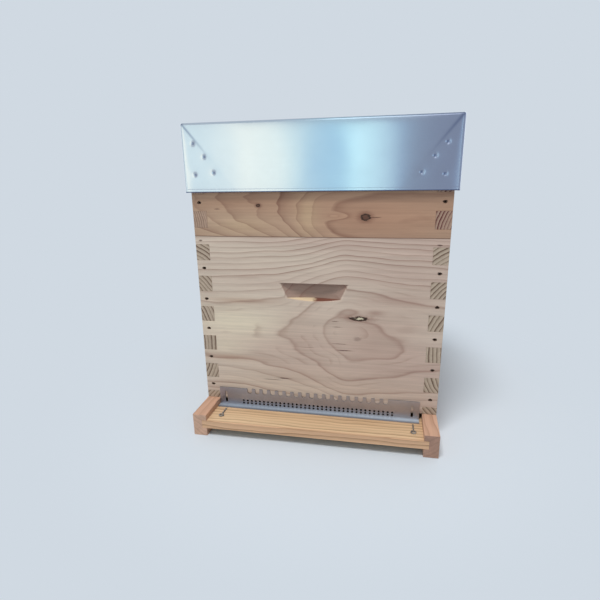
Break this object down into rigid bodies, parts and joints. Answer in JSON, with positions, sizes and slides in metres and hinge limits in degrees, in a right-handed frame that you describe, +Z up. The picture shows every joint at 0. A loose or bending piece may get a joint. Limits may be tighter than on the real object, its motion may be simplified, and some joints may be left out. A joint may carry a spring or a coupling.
{
  "type": "beehive",
  "caption": "Wooden box beehive with finger-jointed deep body and super holding frames, sheet-metal roof, and a floor with landing board and perforated entrance gate.",
  "frame": {"origin": "on the ground, at the centre of the hive's box", "axes": "+Y from the landing board to the back, +X to the right as seen from the front, +Z up"},
  "size_m": [0.445, 0.5774, 0.533],
  "materials": {
    "body_pine": "bare planed pine",
    "super_pine": "bare planed pine",
    "floor_pine": "bare planed pine",
    "rail_pine": "bare planed pine",
    "frame_lime": "bare planed lime",
    "crown_plywood": "sanded plywood",
    "lining_board": "hardboard",
    "roof_galvanised": "bright galvanised",
    "gate_galvanised": "galvanised",
    "strip_galvanised": "galvanised",
    "wire_steel": "zinc plated wire",
    "screw_brass": "yellow passivated",
    "nail_steel": "bare steel"
  },
  "bodies": {
    "floor": {"floor_rail_left": "rail_pine", "floor_rail_right": "rail_pine", "landing_board": "floor_pine", "floor_board_2": "floor_pine", "floor_board_3": "floor_pine", "floor_board_4": "floor_pine", "rear_closing_bar": "floor_pine", "floor_nails": "nail_steel", "hook_pivot_screws": "screw_brass"},
    "entrance_gate": {"entrance_gate": "gate_galvanised"},
    "gate_screw_eye_left": {"gate_screw_eye_left": "wire_steel"},
    "gate_screw_eye_right": {"gate_screw_eye_right": "wire_steel"},
    "side_hook_left": {"side_hook_left": "wire_steel"},
    "side_hook_right": {"side_hook_right": "wire_steel"},
    "hive_body": {"body_front_board": "body_pine", "body_back_board": "body_pine", "body_left_board": "body_pine", "body_right_board": "body_pine", "body_spacer_front": "strip_galvanised", "body_spacer_back": "strip_galvanised", "body_corner_nails": "nail_steel", "hook_catch_screws": "screw_brass"},
    "honey_super": {"super_front_board": "super_pine", "super_back_board": "super_pine", "super_left_board": "super_pine", "super_right_board": "super_pine", "super_spacer_front": "strip_galvanised", "super_spacer_back": "strip_galvanised", "super_corner_nails": "nail_steel"},
    "crown": {"crown_board": "crown_plywood"},
    "roof": {"roof_sheet": "roof_galvanised", "roof_lining": "lining_board"},
    "body_frame_01": {"body_frame_01": "frame_lime"},
    "body_frame_02": {"body_frame_02": "frame_lime"},
    "body_frame_03": {"body_frame_03": "frame_lime"},
    "body_frame_04": {"body_frame_04": "frame_lime"},
    "body_frame_05": {"body_frame_05": "frame_lime"},
    "body_frame_06": {"body_frame_06": "frame_lime"},
    "body_frame_07": {"body_frame_07": "frame_lime"},
    "body_frame_08": {"body_frame_08": "frame_lime"},
    "body_frame_09": {"body_frame_09": "frame_lime"},
    "body_frame_10": {"body_frame_10": "frame_lime"},
    "super_frame_01": {"super_frame_01": "frame_lime"},
    "super_frame_02": {"super_frame_02": "frame_lime"},
    "super_frame_03": {"super_frame_03": "frame_lime"},
    "super_frame_04": {"super_frame_04": "frame_lime"},
    "super_frame_05": {"super_frame_05": "frame_lime"},
    "super_frame_06": {"super_frame_06": "frame_lime"},
    "super_frame_07": {"super_frame_07": "frame_lime"},
    "super_frame_08": {"super_frame_08": "frame_lime"},
    "super_frame_09": {"super_frame_09": "frame_lime"}
  },
  "joints": [
    {"name": "gate_lift", "type": "slide", "parent": "floor", "child": "entrance_gate", "axis": [0, 0, 1], "range_m": [0, 0.06]},
    {"name": "screw_eye_left_lift", "type": "slide", "parent": "floor", "child": "gate_screw_eye_left", "axis": [0, 0, 1], "range_m": [0, 0.05]},
    {"name": "screw_eye_right_lift", "type": "slide", "parent": "floor", "child": "gate_screw_eye_right", "axis": [0, 0, 1], "range_m": [0, 0.05]},
    {"name": "hook_left_swing", "type": "hinge", "parent": "floor", "child": "side_hook_left", "pos_m": [-0.21665, 0.07125, 0.02], "axis": [-1, 0, 0], "range_deg": [0, 108]},
    {"name": "hook_right_swing", "type": "hinge", "parent": "floor", "child": "side_hook_right", "pos_m": [0.21665, 0.07125, 0.02], "axis": [-1, 0, 0], "range_deg": [0, 108]},
    {"name": "body_lift", "type": "slide", "parent": "floor", "child": "hive_body", "axis": [0, 0, 1], "range_m": [0, 0.12]},
    {"name": "super_lift", "type": "slide", "parent": "hive_body", "child": "honey_super", "axis": [0, 0, 1], "range_m": [0, 0.15]},
    {"name": "crown_lift", "type": "slide", "parent": "honey_super", "child": "crown", "axis": [0, 0, 1], "range_m": [0, 0.1]},
    {"name": "roof_lift", "type": "slide", "parent": "crown", "child": "roof", "axis": [0, 0, 1], "range_m": [0, 0.16]},
    {"name": "body_frame_01_lift", "type": "slide", "parent": "hive_body", "child": "body_frame_01", "axis": [0, 0, 1], "range_m": [0, 0.006]},
    {"name": "body_frame_02_lift", "type": "slide", "parent": "hive_body", "child": "body_frame_02", "axis": [0, 0, 1], "range_m": [0, 0.006]},
    {"name": "body_frame_03_lift", "type": "slide", "parent": "hive_body", "child": "body_frame_03", "axis": [0, 0, 1], "range_m": [0, 0.006]},
    {"name": "body_frame_04_lift", "type": "slide", "parent": "hive_body", "child": "body_frame_04", "axis": [0, 0, 1], "range_m": [0, 0.006]},
    {"name": "body_frame_05_lift", "type": "slide", "parent": "hive_body", "child": "body_frame_05", "axis": [0, 0, 1], "range_m": [0, 0.006]},
    {"name": "body_frame_06_lift", "type": "slide", "parent": "hive_body", "child": "body_frame_06", "axis": [0, 0, 1], "range_m": [0, 0.006]},
    {"name": "body_frame_07_lift", "type": "slide", "parent": "hive_body", "child": "body_frame_07", "axis": [0, 0, 1], "range_m": [0, 0.006]},
    {"name": "body_frame_08_lift", "type": "slide", "parent": "hive_body", "child": "body_frame_08", "axis": [0, 0, 1], "range_m": [0, 0.006]},
    {"name": "body_frame_09_lift", "type": "slide", "parent": "hive_body", "child": "body_frame_09", "axis": [0, 0, 1], "range_m": [0, 0.006]},
    {"name": "body_frame_10_lift", "type": "slide", "parent": "hive_body", "child": "body_frame_10", "axis": [0, 0, 1], "range_m": [0, 0.006]},
    {"name": "super_frame_01_lift", "type": "slide", "parent": "honey_super", "child": "super_frame_01", "axis": [0, 0, 1], "range_m": [0, 0.006]},
    {"name": "super_frame_02_lift", "type": "slide", "parent": "honey_super", "child": "super_frame_02", "axis": [0, 0, 1], "range_m": [0, 0.006]},
    {"name": "super_frame_03_lift", "type": "slide", "parent": "honey_super", "child": "super_frame_03", "axis": [0, 0, 1], "range_m": [0, 0.006]},
    {"name": "super_frame_04_lift", "type": "slide", "parent": "honey_super", "child": "super_frame_04", "axis": [0, 0, 1], "range_m": [0, 0.006]},
    {"name": "super_frame_05_lift", "type": "slide", "parent": "honey_super", "child": "super_frame_05", "axis": [0, 0, 1], "range_m": [0, 0.006]},
    {"name": "super_frame_06_lift", "type": "slide", "parent": "honey_super", "child": "super_frame_06", "axis": [0, 0, 1], "range_m": [0, 0.006]},
    {"name": "super_frame_07_lift", "type": "slide", "parent": "honey_super", "child": "super_frame_07", "axis": [0, 0, 1], "range_m": [0, 0.006]},
    {"name": "super_frame_08_lift", "type": "slide", "parent": "honey_super", "child": "super_frame_08", "axis": [0, 0, 1], "range_m": [0, 0.006]},
    {"name": "super_frame_09_lift", "type": "slide", "parent": "honey_super", "child": "super_frame_09", "axis": [0, 0, 1], "range_m": [0, 0.006]}
  ]
}
